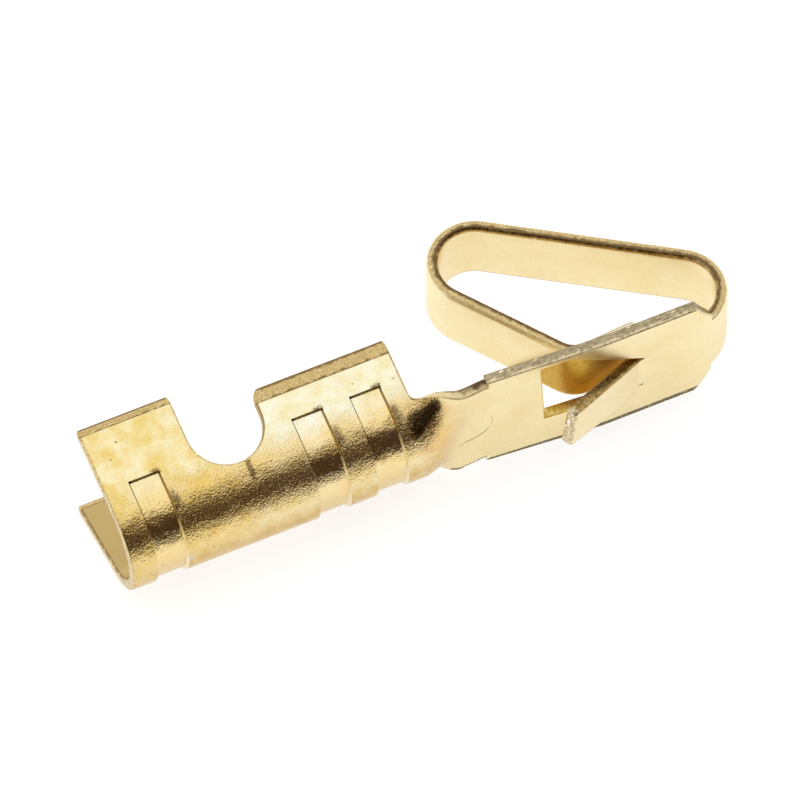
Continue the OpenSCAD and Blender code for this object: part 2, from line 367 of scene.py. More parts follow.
def plate_point(x, z):
    """A point of the plate, whose outer face falls a little towards the kink."""
    y = plate_rise - plate_drop * share_between(plate_x, kink_x, x)
    return skin_point([x, y, z], [x, y + sheet_t, z], plate_edge_r)


def half_plate(x):
    """Half of the plate's width: it grows to the kink and shrinks along the slanted nose."""
    grown = plate_rear_w / 2 + (half_w - plate_rear_w / 2) * share_between(plate_x, kink_x, x)
    return grown - nose_in * share_between(nose_x, nose_end, x)


def window_top(x):
    """The window's upper edge, which slants down beside the lance."""
    return rim_z + (lance_hi - rim_z) * share_between(window_x0 + window_shoulder, root_x, x)


print("window from", round(window_x0, 2), "to", round(root_x, 2), "mm, nose at", round(nose_x, 2))

# %% The flat areas of the plate
rear = [(plate_x, -half_plate(plate_x)), *((plate_x, f * neck_w / 2) for f in columns)]
rear += [(plate_x, half_plate(plate_x)), (kink_x, half_w), (kink_x, window_top(kink_x))]
rear += [(window_x0 + window_shoulder, rim_z), (window_x0, rim_z)]
rear += [(window_x0 + window_lean, sill_z), (kink_x, sill_z), (kink_x, -half_w)]
front_half = half_plate(front_c[0])
front = [(kink_x, -half_w), (kink_x, sill_z), (root_x, lance_lo), (root_x, lance_hi)]
front += [(kink_x, window_top(kink_x)), (kink_x, half_w), (nose_x, half_w)]
front += [(front_c[0], z) for z in (front_half, *strip_columns[::-1], -front_half)]
front += [(nose_x, -half_w)]
for outline in (rear, front):
    skin_face([plate_point(x, z) for x, z in outline], "plate")
print("plate: rear face with", len(rear), "corners, front face with", len(front))

# %% The lance
fold_c = np.array([root_x, front_y - lance_fold_r])
lance_edge_r = 0.05


def lance_place(turn, run, z):
    """A place on both faces of the lance: an angle round its fold, then a length along it."""
    away = heading(90 + turn)
    along = heading(180 + turn) * run
    return [[*(fold_c + r * away + along), z] for r in (lance_fold_r, lance_fold_r + sheet_t)]


def lance_point(turn, run, z):
    return skin_point(*lance_place(turn, run, z), lance_edge_r)


def rounded_corner(before, corner, after, r, steps=6):
    """Points of a corner's round, in the plane of the lance."""
    before, corner, after = (np.array(q, float) for q in (before, corner, after))
    a, b = ((q - corner) / np.linalg.norm(q - corner) for q in (before, after))
    reach = r / math.tan(math.acos(a @ b) / 2)
    start, end = corner + reach * a, corner + reach * b
    return [bowed(start, corner, end, t) for t in np.linspace(0, 1, steps)]


turns = np.linspace(0, lance_angle, 11)
rows = [[lance_point(turn, 0, z) for z in (lance_lo, lance_hi)] for turn in turns]
skin_grid(rows, "lance")
tip_lo = (lance_lo + lance_hi - lance_tip_w) / 2 + lance_rise
rake_run = lance_rake / math.cos(math.radians(lance_angle))
bottom_run = lance_l / 3 - lance_fold_r * math.tan(math.radians(lance_angle))
upper, lower = (lance_l - rake_run, tip_lo + lance_tip_w), (lance_l, tip_lo)
bottom = (bottom_run, lance_lo)
sharp_corner = lance_place(lance_angle, *lower)
tip_round = rounded_corner((0, lance_hi), upper, lower, lance_upper_r)
tip_round += rounded_corner(upper, lower, bottom, lance_lower_r)
lance_tip = [lance_point(lance_angle, run, z) for run, z in tip_round]
flat = [lance_point(lance_angle, 0, lance_lo), lance_point(lance_angle, 0, lance_hi)]
flat += [*lance_tip, lance_point(lance_angle, *bottom)]
skin_face(flat, "lance")
print("lance: fold of", len(rows), "rows and one flat face")

# %% [markdown]
# ## The contact loop follows a path
#
# The strip leaves the plate, turns back over it in a wide front bend, runs up to a crown and comes
# down to a foot just over the plate. Its shape is a rule, a line of fixed width carried along a
# path, which is what Geometry Nodes do best. The path is a chain of edges. The tree turns it into a
# curve, carries a line along it, and stores for each point the way to its partner on the inner face.

# %% The loop's path
top_slope, return_slope, foot_r, foot_gap = 33.5, 54, 0.72, 0.18
tail_l, tail_slope = 1.1, 4
top_normal, return_normal = 90 - top_slope, 270 - return_slope
top_run = (loop_h - 2 * bend_r) / math.sin(math.radians(top_slope))
crown_c = front_c + top_run * heading(180 - top_slope)
swing_c = crown_c + (bend_r - foot_r) * heading(return_normal)
foot_y = front_y + sheet_t + foot_gap + foot_r
return_run = (swing_c[1] - foot_y) / math.sin(math.radians(return_slope))
foot_c = swing_c + return_run * heading(-return_slope)
nose_turn = math.degrees(math.asin((nose_end - front_c[0]) / bend_r)) - 90


def bend(c, r, start, end, step=3):
    count = max(2, math.ceil(abs(end - start) / step) + 1)
    return [c + r * heading(a) for a in np.linspace(start, end, count)]


path = bend(front_c, bend_r, -90, nose_turn)
ear_rows = len(path)
path += bend(front_c, bend_r, nose_turn, top_normal)[1:]
path += bend(crown_c, bend_r, top_normal, return_normal)
path += bend(foot_c, foot_r, return_normal, 270 + tail_slope)
path.append(path[-1] + tail_l * heading(tail_slope))
lengths = [math.dist(a, b) for a, b in zip(path, path[1:])]
print("path:", len(path), "points,", round(sum(lengths), 2), "mm long")

# %% Helpers for node trees, objects and materials
def feed(tree, node, values):
    """Links each value that is a socket to the node, and sets any other."""
    for key, value in values.items():
        if isinstance(value, bpy.types.NodeSocket):
            tree.links.new(value, node.inputs[key])
        else:
            node.inputs[key].default_value = value


def put(tree, kind, values=None, **settings):
    made = tree.nodes.new(kind)
    for key, value in settings.items():
        setattr(made, key, value)
    feed(tree, made, values or {})
    return made


def then(kind, values, **settings):
    """Adds a node to the tree that its sockets belong to, and hands back its first output."""
    tree = next(v.id_data for v in values.values() if isinstance(v, bpy.types.NodeSocket))
    made = put(tree, kind, values, **settings)
    return next((out for out in made.outputs if out.enabled), None)


def show(name, data):
    made = bpy.data.objects.new(name, data)
    bpy.context.scene.collection.objects.link(made)
    return made


def final_mesh(owner):
    """The mesh that an object's modifiers make."""
    depsgraph = bpy.context.evaluated_depsgraph_get()
    return bpy.data.meshes.new_from_object(owner.evaluated_get(depsgraph))


def new_finish(name):
    material = bpy.data.materials.new(name)
    material.use_nodes = True
    return material


print("helpers: feed, put, then, show, final_mesh and new_finish")

# %% A node tree that carries the strip along the path
tree = bpy.data.node_groups.new("strip along a path", "GeometryNodeTree")
inputs = {"Path": "Geometry", "Width": "Float", "Divisions": "Int", "Thickness": "Float"}
for name, kind in {**inputs, "Finish": "Material"}.items():
    tree.interface.new_socket(name, in_out="INPUT", socket_type="NodeSocket" + kind)
tree.interface.new_socket("Strip", in_out="OUTPUT", socket_type="NodeSocketGeometry")
socket_of = {s.name: s.identifier for s in tree.interface.items_tree if s.in_out == "INPUT"}
given = put(tree, "NodeGroupInput").outputs

curve = then("GeometryNodeMeshToCurve", {"Mesh": given["Path"]})
curve = then("GeometryNodeSetCurveNormal", {"Curve": curve}, mode="Z_UP")
normal = put(tree, "GeometryNodeInputNormal").outputs["Normal"]
inwards = {0: normal, "Scale": given["Thickness"]}
inwards = then("ShaderNodeVectorMath", inwards, operation="SCALE")
partner = {"Geometry": curve, "Name": "to_inner", "Value": inwards}
curve = then("GeometryNodeStoreNamedAttribute", partner, data_type="FLOAT_VECTOR", domain="POINT")

ends = {}
for name, share in (("Start", -0.5), ("End", 0.5)):
    aside = then("ShaderNodeMath", {0: given["Width"], 1: share}, operation="MULTIPLY")
    ends[name] = then("ShaderNodeCombineXYZ", {"Y": aside})
line = then("GeometryNodeCurvePrimitiveLine", ends)
line = then("GeometryNodeResampleCurve", {"Curve": line, "Count": given["Divisions"]})
strip = then("GeometryNodeCurveToMesh", {"Curve": curve, "Profile Curve": line})
strip = then("GeometryNodeRealizeInstances", {"Geometry": strip})
strip = then("GeometryNodeSetMaterial", {"Geometry": strip, "Material": given["Finish"]})
then("NodeGroupOutput", {"Strip": strip})
print("node tree:", len(tree.nodes), "nodes with the inputs", list(socket_of))

# %% Run the tree and take the loop into the skin
rolled = new_finish("rolled_brass")
path_mesh = bpy.data.meshes.new("loop_path")
path_mesh.from_pydata([(*p, 0.0) for p in path], [(k, k + 1) for k in range(len(path) - 1)], [])
path_object = show("loop_path", path_mesh)
follow = path_object.modifiers.new("strip along a path", "NODES")
follow.node_group = tree
settings = {"Width": strip_w, "Divisions": len(strip_columns), "Thickness": sheet_t}
for name, value in {**settings, "Finish": rolled}.items():
    follow[socket_of[name]] = value
strip = final_mesh(path_object)
bpy.data.objects.remove(path_object)

loop_edge_r, ramp = 0.11, 0.5
travelled = np.concatenate([[0], np.cumsum(lengths)])
places = np.array([v.co for v in strip.vertices])
partners = np.array([a.vector for a in strip.attributes["to_inner"].data])
if partners[0] @ (np.array([*front_c, 0]) - places[0]) < 0:
    partners = -partners
ear_end = travelled[ear_rows - 1]
numbers = []
for place, partner in zip(places, partners):
    k = int(np.argmin([math.dist(place[:2], q) for q in path]))
    exact = np.array([*path[k], strip_columns[int(np.argmin(abs(strip_columns - place[2])))]])
    share = ease(share_between(ear_end, ear_end + ramp, travelled[k]))
    edge_r = plate_edge_r + (loop_edge_r - plate_edge_r) * share
    numbers.append(skin_point(exact, exact + partner, edge_r))
for face in strip.polygons:
    skin_face([numbers[k] for k in face.vertices], "loop")

for side in (-1, 1):
    ear = []
    for p, turn in zip(path[:ear_rows], np.linspace(-90, nose_turn, ear_rows)):
        back = front_c + (bend_r - sheet_t) * heading(turn)
        sides = [side * half_strip, side * half_plate(p[0])]
        ear.append([skin_point([*p, z], [*back, z], plate_edge_r) for z in sides])
    skin_grid(ear, "plate")
print("loop:", len(strip.polygons), "faces along", len(path), "points")

# %% [markdown]
# ## From a skin to a sheet with rounded edges
#
# Where a face of the skin has no neighbour, the sheet ends, and its edge has to be closed. A stamped
# edge is never quite sharp: the punch rolls it over, and on the loop it is almost a half round. So
# both faces are drawn back by the edge's radius, and a round, a flat and a round are laid across
# the thickness. The way out is taken in the plane of the sheet, so this works on every fold.

# %% Find the free edges and the way out of the sheet
outer = np.array(outer_points)
inner = np.array(inner_points)
neighbours = {}
for number, face in enumerate(skin_faces):
    for a, b in zip(face, face[1:] + face[:1]):
        neighbours.setdefault(frozenset((a, b)), []).append((a, b, number))
free_edges = [found[0] for found in neighbours.values() if len(found) == 1]
crowded = [found for found in neighbours.values() if len(found) > 2]
print("skin:", len(outer), "points and", len(skin_faces), "faces")
print("edges:", len(free_edges), "free and", len(crowded), "crowded")

through = inner - outer
thickness = np.linalg.norm(through, axis=1)
through /= thickness[:, None]
ways = {}
for a, b, number in free_edges:
    for end in (a, b):
        way = np.cross(outer[b] - outer[a], -through[end])
        ways.setdefault(end, []).append(way / np.linalg.norm(way))
out = np.zeros_like(outer)
for point, found in ways.items():
    out[point] = sum(found) / max(0.5, 1 + found[0] @ found[-1]) if len(found) > 1 else found[0]

# %% Lay the rounded edge across the thickness
window_margin = 0.05


def edge_area(a, b, area):
    """Names the area that a part of an edge belongs to, by where it lies."""
    ends = (outer[a], outer[b])
    if area == "lance" and a in lance_tip and b in lance_tip:
        return "lance tip edge"
    if area == "plate" and all(abs(z) < half_plate(x) - window_margin for x, _, z in ends):
        return "window edge"
    if area == "plate" and all(x < plate_x + window_margin for x, _, _ in ends):
        return "ear edge"
    return area + " edge"


round_steps, largest_round = 4, 0.46
quarter = np.linspace(0, math.pi / 2, round_steps + 1)[1:]
radii = np.minimum(np.array(edge_radii), largest_round * thickness)[:, None]
vertices = [*(outer - radii * out), *(inner - radii * out)]
count = len(outer)
shares = [coin_share.get(k, 0.0) for k in range(count)] * 2
depths = [0.0] * count + [1.0] * count
rim = {}
for point in ways:
    o, d, r, last = outer[point], through[point], radii[point, 0], inner[point]
    line = [point]
    rounds = [(o, d, turn) for turn in quarter] + [(last, -d, turn) for turn in quarter[::-1]]
    for corner, way, turn in rounds:
        line.append(len(vertices))
        back = r * (math.sin(turn) - 1) * out[point]
        vertices.append(corner + back + r * (1 - math.cos(turn)) * way)
    shares += [coin_share.get(point, 0.0)] * (len(line) - 1)
    depths += [float((vertices[k] - o) @ d / thickness[point]) for k in line[1:]]
    rim[point] = line + [count + point]

faces = [list(face) for face in skin_faces]
faces += [[count + k for k in face[::-1]] for face in skin_faces]
areas = skin_areas + ["inner " + area for area in skin_areas]
for a, b, number in free_edges:
    for k in range(len(rim[a]) - 1):
        faces.append([rim[b][k], rim[a][k], rim[a][k + 1], rim[b][k + 1]])
        areas.append(edge_area(a, b, skin_areas[number]))
print("sheet:", len(vertices), "points,", len(faces), "faces")

# %% Make the mesh, in metres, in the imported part's frame
drawn = np.concatenate([outer, inner, sharp_corner])
drawn_low, drawn_size = drawn.min(0), np.ptp(drawn, axis=0)
solid_low = np.array(solid_box[0])
solid_size = np.array(solid_box[1]) - solid_low
placed = solid_low + (np.array(vertices) - drawn_low) / drawn_size * solid_size
print("drawn size", drawn_size.round(3), "mm, solid", (solid_size / MM).round(3), "mm")

crease_angle = 28
terminal_mesh = bpy.data.meshes.new("terminal_sheet")
terminal_mesh.from_pydata(placed.tolist(), [], faces)
terminal_mesh.validate()
for name, values in (("coin_share", shares), ("depth_share", depths)):
    terminal_mesh.attributes.new(name, "FLOAT", "POINT").data.foreach_set("value", values)
terminal_mesh.shade_smooth()
terminal_mesh.set_sharp_from_angle(angle=math.radians(crease_angle))
terminal = show("terminal_sheet", terminal_mesh)
print("mesh:", len(terminal_mesh.polygons), "polygons")

# %% [markdown]
# ## Finishes
#
# The whole terminal is one brass, but each step of its making leaves its own surface. The rolled
# sheet is smooth and pale. The barrel is grained like fine sand, from the tool that rolls it round.
# The pressed bands are burnished again by the punch. The sheared edges are dull and streaked, and
# the edges of the spring are rounded and darker. All of it is noise at the scale of the real marks,
# and a few helpers keep the node trees short.

# %% Helpers for shaders
def millimetres(tree, stretch=(1, 1, 1)):
    """Object coordinates in millimetres, stretched where a grain has a direction."""
    place = put(tree, "ShaderNodeTexCoord").outputs["Object"]
    scale = tuple(f / MM for f in stretch)
    return then("ShaderNodeMapping", {"Vector": place, "Scale": scale})


def parts_of(vector):
    return then("ShaderNodeSeparateXYZ", {"Vector": vector}).node.outputs


def noise(place, scale, detail=2.0, roughness=0.5):
    values = {"Vector": place, "Scale": scale, "Detail": detail, "Roughness": roughness}
    return then("ShaderNodeTexNoise", values)


def remap(value, low, high, start=0.0, end=1.0):
    values = {"Value": value, "From Min": low, "From Max": high, "To Min": start, "To Max": end}
    return then("ShaderNodeMapRange", values, interpolation_type="SMOOTHSTEP")


def calculate(operation, *values):
    return then("ShaderNodeMath", dict(enumerate(values)), operation=operation)


def multiply(product, *factors):
    for factor in factors:
        product = calculate("MULTIPLY", product, factor)
    return product


def blend(share, a, b):
    """A colour between two others, each of which is a socket or red, green and blue."""
    a, b = ((*c, 1) if isinstance(c, tuple) else c for c in (a, b))
    return then("ShaderNodeMix", {0: share, 6: a, 7: b}, data_type="RGBA")


def bump(height, distance, strength=1.0, below=None):
    """A bump of a height in metres, on top of another one."""
    values = {"Height": height, "Distance": distance, "Strength": strength}
    if below:
        values["Normal"] = below
    return then("ShaderNodeBump", values)


def shade(material, **values):
    """Feeds the material's shader, whose sockets are named with a space for each underscore."""
    values = {key.replace("_", " "): value for key, value in values.items()}
    feed(material.node_tree, material.node_tree.nodes["Principled BSDF"], values)


print("helpers: noise, ranges, colours and bumps")

# %% [markdown]
# Many marks depend on where they lie: on the barrel, under it, or beside a band. The shader sees the
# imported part's frame, so its coordinates are shifted back to the wire end, from which all the sizes
# above count. Marks on metal have soft borders, so each fades between a pair of places.

# %% Where a mark begins and ends
to_row = solid_low / MM - drawn_low


def drawn_place(place):
    """The coordinates of a place, counted as the sheet was drawn."""
    values = {0: place, 1: to_row.tolist()}
    return parts_of(then("ShaderNodeVectorMath", values, operation="SUBTRACT"))


def between(value, marks):
    """1 between the two middle marks, fading to 0 at the outer ones."""
    start, full, still_full, end = marks
    return multiply(remap(value, start, full), remap(value, still_full, end, 1, 0))


def around(middle, core, reach):
    """Four marks round a middle."""
    return middle - reach, middle - core, middle + core, middle + reach


def shaded_underside(z):
    """1 on the half of the barrel that faces the table, which gets painted shade."""
    return remap(z, -0.1, 0.7, 1, 0)


def turned_up(y, colour, share):
    """Deepens a colour to amber where the round bottom turns up into the walls."""
    there = multiply(between(y, (0.0, 0.12, 0.9, 1.35)), share)
    return blend(there, colour, (0.92, 0.62, 0.17))


print("shift to the packed part:", to_row.round(4), "mm")

# %% Mottling, specks, pits and grain
def mottled(place, scale, pale, deep):
    """Two tones of one brass in soft patches."""
    patches = noise(place, scale, 6.0, 0.62)
    return blend(remap(patches, 0.32, 0.7), pale, deep)


def sanded(place, colour, pitted):
    """Fine sandy specks on a colour, and a few dark pits in the middles of half of the cells."""
    fine = noise(place, 30.0, 3.0, 0.7)
    colour = blend(remap(fine, 0.42, 0.72, 0.0, 0.22), colour, (0.55, 0.36, 0.1))
    per_mm, size = 2.6, 0.036
    cells = then("ShaderNodeTexVoronoi", {"Vector": place, "Scale": per_mm}).node.outputs
    near = remap(cells["Distance"], 0.4 * size * per_mm, size * per_mm, 1, 0)
    pick = then("ShaderNodeSeparateColor", {"Color": cells["Color"]})
    return blend(multiply(near, remap(pick, 0.5, 0.55), pitted), colour, (0.2, 0.13, 0.04))


def grain(place, height, share=1.0):
    """Slow waves with a sandy grain on top, which a share fades out."""
    waves = bump(noise(place, 2.2), 0.03 * MM, share)
    sand = noise(place, 23.0, 2.0, 0.6)
    return bump(sand, height * MM, share, waves)


print("textures: mottled, sanded and grain")

# %% [markdown]
# The rolled face runs from end to end. Its tones follow what the tools have done to it: deep and
# patchy on the insulation wings, bright on the conductor wings, amber where the bottom turns up,
# and plain from the neck on. The half that faces the table is deeper, which is painted shade. Each
# is a mottled pair of tones, blended by where it lies, so that the whole face stays one material
# without a seam.

# %% The brass of the faces
place = millimetres(rolled.node_tree)
x, y, z = drawn_place(place)
on_barrel = remap(x, barrel_l + 0.15, barrel_l + 0.85, 1, 0)
on_conductor = between(x, (insulation_l, conductor_x, barrel_l, barrel_l + 0.5))
plain = mottled(place, 0.9, (0.94, 0.82, 0.5), (0.905, 0.75, 0.41))
golden = mottled(place, 2.4, (0.95, 0.86, 0.53), (0.86, 0.64, 0.2))
bright = mottled(place, 2.4, (0.97, 0.96, 0.77), (0.92, 0.81, 0.46))
# Painted shade: a deeper brass on the half that faces the table
below = mottled(place, 3.0, (0.78, 0.59, 0.27), (0.66, 0.44, 0.14))
colour = turned_up(y, blend(on_conductor, golden, bright), 0.6)
colour = blend(shaded_underside(z), colour, below)
pitted = remap(on_barrel, 0, 1, 0.08, 0.75)
colour = sanded(place, blend(on_barrel, plain, colour), pitted)
ragged = noise(place, 6.0, 4.0, 0.7)
gritty = noise(place, 22.0, 4.0, 0.8)
plate_roughness, barrel_roughness = 0.33, 0.24
roughness = remap(on_barrel, 0, 1, plate_roughness, barrel_roughness)
print("rolled brass:", len(rolled.node_tree.nodes), "nodes for its tones")

# %% [markdown]
# Inside the loop's foot, light goes to and fro between brass and brass and turns amber. This
# reflection is painted as an amber tint on the foot behind the window, ending along a slanted line.
# Along the lower border of the plate and the neck, a thin dark line is painted: the shear's burr,
# darkened by a painted reflection of the shadow on the table, and broken up by grit.

# %% Painted amber reflection in the loop's foot, and the painted dark line of the lower edge
fold_slant, fold_end, fold_fade = 0.66, 1.36, 0.34
# Painted reflection: the amber of light bouncing in the fold, fading out along a slanted line
deep = calculate("MULTIPLY_ADD", z, fold_slant, y)
fold_reflection = remap(deep, fold_end, fold_end + fold_fade, 1, 0)
fold_marks = (window_x0 - 0.2, window_x0 + 0.3, root_x - 0.3, root_x + 0.9)
above_plate = remap(y, 0.5, 0.54)
fold_reflection = multiply(fold_reflection, above_plate, between(x, fold_marks))
amber = mottled(place, 10.0, (0.66, 0.41, 0.06), (0.54, 0.31, 0.03))
colour = blend(fold_reflection, colour, amber)

# Painted shade: the burr line at the lower border is darkened as a reflection of the table's shadow
# under the part
line_fade = 0.06
for height, start, end in ((0.14, plate_x, overall_l), (0.27, plate_x - 0.8, plate_x)):
    burr_and_shadow_line = remap(z, height - half_w, height - half_w + line_fade, 1, 0)
    along = between(x, (start - 0.05, start, end, end + 0.01))
    burr_and_shadow_line = remap(multiply(burr_and_shadow_line, along, gritty), 0.34, 0.44)
    colour = blend(burr_and_shadow_line, colour, (0.13, 0.11, 0.06))
print("amber behind the window from", round(window_x0, 2), "to", round(root_x, 2), "mm")

# %% [markdown]
# Where the barrel opens into the neck the brass is warmer in tone, and a nearly black painted
# reflection of the dark room lies on the shoulder under the wing. Its border slants along the neck,
# and gritty noise eats into it, because a smooth one would look painted on.

# %% The warm neck and the painted dark reflection on its shoulder
warm = between(x, (barrel_l - 0.3, barrel_l + 0.1, barrel_l + 0.4, plate_x))
warm = multiply(warm, between(z, (-0.6, 0.5, 1.1, 1.4)), ragged)
colour = blend(warm, colour, (0.72, 0.46, 0.19))

# Painted reflection: the dark room as the shoulder mirrors it, painted nearly black
reflection_slant, reflection_z = -0.55, 0.74
lift = calculate("MULTIPLY_ADD", x, reflection_slant, z)
reflection_low = reflection_slant * barrel_l + reflection_z
dark_reflection = remap(lift, reflection_low, reflection_low + 0.2)
reflection_x = between(x, (barrel_l - 0.6, barrel_l, barrel_l + 0.4, barrel_l + 0.6))
reflection_y = between(y, (0.1, 0.3, 0.62, 0.95))
dark_reflection = multiply(dark_reflection, reflection_y, reflection_x, gritty)
dark_reflection = remap(dark_reflection, 0.2, 0.44, 0.0, 0.95)
colour = blend(dark_reflection, colour, (0.09, 0.055, 0.025))
print("stain on the neck's shoulder from", round(barrel_l, 2), "mm on")

# %% [markdown]
# Dark patches lie at the front upper corner of each pressed band and along its front side, and a
# dark line along a crease under the slot is painted shade. Each has four marks along the barrel and
# four up its side. One spot near the rear band is rubbed bare and grey.

# %% Dark patches beside the pressed bands, and the crease's painted shade
crease_x, rub_x, rub_z = 3.0, 1.29, 0.065
crease_marks = (crease_x - 0.15, crease_x, crease_x + 0.02, crease_x + 0.2)
corner_height = (groove_top - 0.1, groove_top - 0.05, groove_top, groove_top + 0.18)
# The first entry is the painted shade in the crease under the slot
dark_patches = [(crease_marks, (0.4, 0.7, 1.0, 1.15))]
for middle in grooves:
    end = middle + groove_w / 2
    dark_patches.append(((end - 0.45, end - 0.09, end - 0.03, end + 0.13), corner_height))
    dark_patches.append(((end - 0.05, end, end + 0.04, end + 0.45), (0.4, 0.7, 0.85, 1.45)))
for along_x, up_y in dark_patches:
    along, up = between(x, along_x), between(y, up_y)
    dark_patch = remap(multiply(along, up, gritty), 0.28, 0.54, 0.0, 0.9)
    colour = blend(dark_patch, colour, (0.16, 0.1, 0.04))

rubbed = between(x, around(rub_x, 0.04, 0.14))
rubbed_z = between(z, around(rub_z, 0.035, 0.115))
rubbed = multiply(rubbed, rubbed_z, remap(ragged, 0.4, 0.6))
colour = blend(rubbed, colour, (0.62, 0.56, 0.56))
shade(rolled, Metallic=1.0, Base_Color=colour, Roughness=roughness)
print("smears:", len(dark_patches), "and one rubbed spot")

# %% [markdown]
# A shallow press mark with a round end runs along the middle of the neck and just on to the plate.
# It is only a few hundredths of a millimetre deep, so it is a bump: the height steps up where the
# distance from the mark's middle line passes its half width, and it fades out towards the barrel.
# Under it lies the sandy grain, which is strong on the barrel's bottom and faint everywhere else.

# %% The press mark and the grain
mark_r, mark_end, mark_z, mark_edge, mark_depth = 0.43, plate_x - 0.32, 0.05, 0.015, 0.035
grain_height, faint = 0.015, 0.09
past_end = calculate("MAXIMUM", calculate("SUBTRACT", x, mark_end), 0.0)
beside = calculate("SUBTRACT", z, mark_z)
off_line = then("ShaderNodeCombineXYZ", {"X": past_end, "Y": beside})
off_line = then("ShaderNodeVectorMath", {0: off_line}, operation="LENGTH")
step_up = remap(off_line, mark_r - mark_edge, mark_r + mark_edge)
shown = remap(x, barrel_l + 0.6, barrel_l + 1.0)
shown = multiply(shown, remap(z, mark_z, mark_z + 0.3, 1, 0))
grained = remap(y, 0.9, 1.6, 1, 0.4)
grained = remap(multiply(on_barrel, grained), 0, 1, faint, 1)
sandy = grain(place, grain_height, grained)
shade(rolled, Normal=bump(step_up, mark_depth * MM, shown, sandy))
print("press mark:", 2 * mark_r, "mm wide, up to x =", round(mark_end + mark_r, 2), "mm")

# %% [markdown]
# The pressed bands, the barrel's inside and the lance's back differ from the rolled face only in
# tone and in polish: the punch burnishes the bands, little light reaches the inside, and the back of
# the lance is dull. So one function makes all three.

# %% The brass of the pressed bands, of the barrel's inside and of the lance's back
def barrel_brass(name, pale, deep, below, roughness, height, amber=0.0):
    """A mottled brass, which is deeper over the insulation, with painted shade on the barrel's lower
    half.
    """
    material = new_finish(name)
    place = millimetres(material.node_tree)
    x, y, z = drawn_place(place)
    deeper = remap(x, insulation_l, conductor_x, 0.75, 0.0)
    colour = blend(deeper, mottled(place, 2.0, pale, deep), deep)
    if amber:
        colour = turned_up(y, colour, amber)
    # Painted shade on the half that faces the table
    colour = blend(shaded_underside(z), colour, below)
    colour, normal = sanded(place, colour, 0.5), grain(place, height)
    shade(material, Metallic=1.0, Base_Color=colour, Roughness=roughness, Normal=normal)
    return material


pressed = barrel_brass(
    "pressed_brass", (0.97, 0.95, 0.76), (0.92, 0.78, 0.42), (0.79, 0.61, 0.3),
    roughness=0.18, height=0.01, amber=0.5,
)
inside = barrel_brass(
    "inside_brass", (0.66, 0.5, 0.23), (0.56, 0.4, 0.15), (0.6, 0.44, 0.18),
    roughness=0.3, height=0.008,
)
lance_back = barrel_brass(
    "lance_back", (0.96, 0.88, 0.6), (0.93, 0.81, 0.5), (0.95, 0.85, 0.56),
    roughness=0.6, height=0.002,
)
print("face finishes:", [f.name for f in (rolled, pressed, inside, lance_back)])

# %% [markdown]
# The edges show how they were made. A blanked edge has streaks and a few bright glints, which are
# painted highlights of burnished spots, and a torn one is rough and dark. The coined tips are
# squeezed, so their streaks run along the wing. One rule serves them all: two tones in streaks, a
# painted glint highlight, and the way the streaks run.

# %% The brass of the edges
def edge_brass(name, dark, light, glint_highlight, stretch=(1, 1, 1), streak=26.0, height=0.003,
               glints=0.64, roughness=0.32):
    """A dull brass with streaks and painted glint highlights."""
    material = new_finish(name)
    place = millimetres(material.node_tree, stretch)
    streaks = noise(place, streak, 3.0, 0.65)
    colour = blend(remap(streaks, 0.3, 0.72), dark, light)
    # Painted highlight: sparse bright glints blended into the colour
    painted_glints = remap(noise(place, 0.5 * streak), glints, glints + 0.08)
    colour, normal = blend(painted_glints, colour, glint_highlight), bump(streaks, height * MM)
    shade(material, Metallic=1.0, Base_Color=colour, Roughness=roughness, Normal=normal)
    return material


sheared = edge_brass(
    "sheared_edge", (0.27, 0.22, 0.12), (0.58, 0.48, 0.3), (0.88, 0.79, 0.55),
    stretch=(0.4, 1, 1), streak=22.0, height=0.004, glints=0.66,
)
neck_edge = edge_brass(
    "neck_edge", (0.84, 0.68, 0.37), (0.94, 0.81, 0.49), (0.97, 0.88, 0.6),
    stretch=(0.7, 0.5, 1), streak=18.0, roughness=0.55,
)
barrel_edge = edge_brass(
    "barrel_edge", (0.5, 0.36, 0.15), (0.86, 0.7, 0.37), (0.95, 0.84, 0.52), streak=16.0
)
loop_edge = edge_brass(
    "loop_edge", (0.54, 0.39, 0.17), (0.8, 0.63, 0.31), (0.93, 0.8, 0.48), stretch=(1, 1, 0.6)
)
torn = edge_brass(
    "torn_edge", (0.22, 0.13, 0.04), (0.64, 0.45, 0.17), (0.92, 0.75, 0.4),
    stretch=(1, 0.6, 1), streak=18.0, height=0.006,
)
sill = edge_brass(
    "sill_edge", (0.66, 0.43, 0.07), (0.94, 0.76, 0.27), (0.98, 0.87, 0.5),
    stretch=(1, 0.6, 1), streak=16.0,
)
# The pale tone of the lance's tip and of the ears' edges is partly the torn metal and partly a painted
# highlight
highlit_torn_tip = edge_brass(
    "highlit_torn_tip", (0.42, 0.3, 0.13), (0.9, 0.8, 0.56), (0.98, 0.94, 0.78),
    streak=14.0, height=0.012, glints=0.55,
)
# The band slopes' two finishes are a shaded and a lit copy of one brass: painted shade above, painted
# highlight along the underside
shaded_groove_side = edge_brass("shaded_groove_side", (0.3, 0.19, 0.06), (0.56, 0.4, 0.15), (0.9, 0.74, 0.38))
highlit_groove_foot = edge_brass("highlit_groove_foot", (0.88, 0.74, 0.44), (0.98, 0.92, 0.7), (0.99, 0.96, 0.84))
coined = edge_brass(
    "coined_tip", (0.5, 0.35, 0.13), (0.82, 0.62, 0.29), (0.93, 0.78, 0.46),
    stretch=(0.8, 1, 1), streak=30.0, height=0.002,
)
print("materials so far:", len(bpy.data.materials))

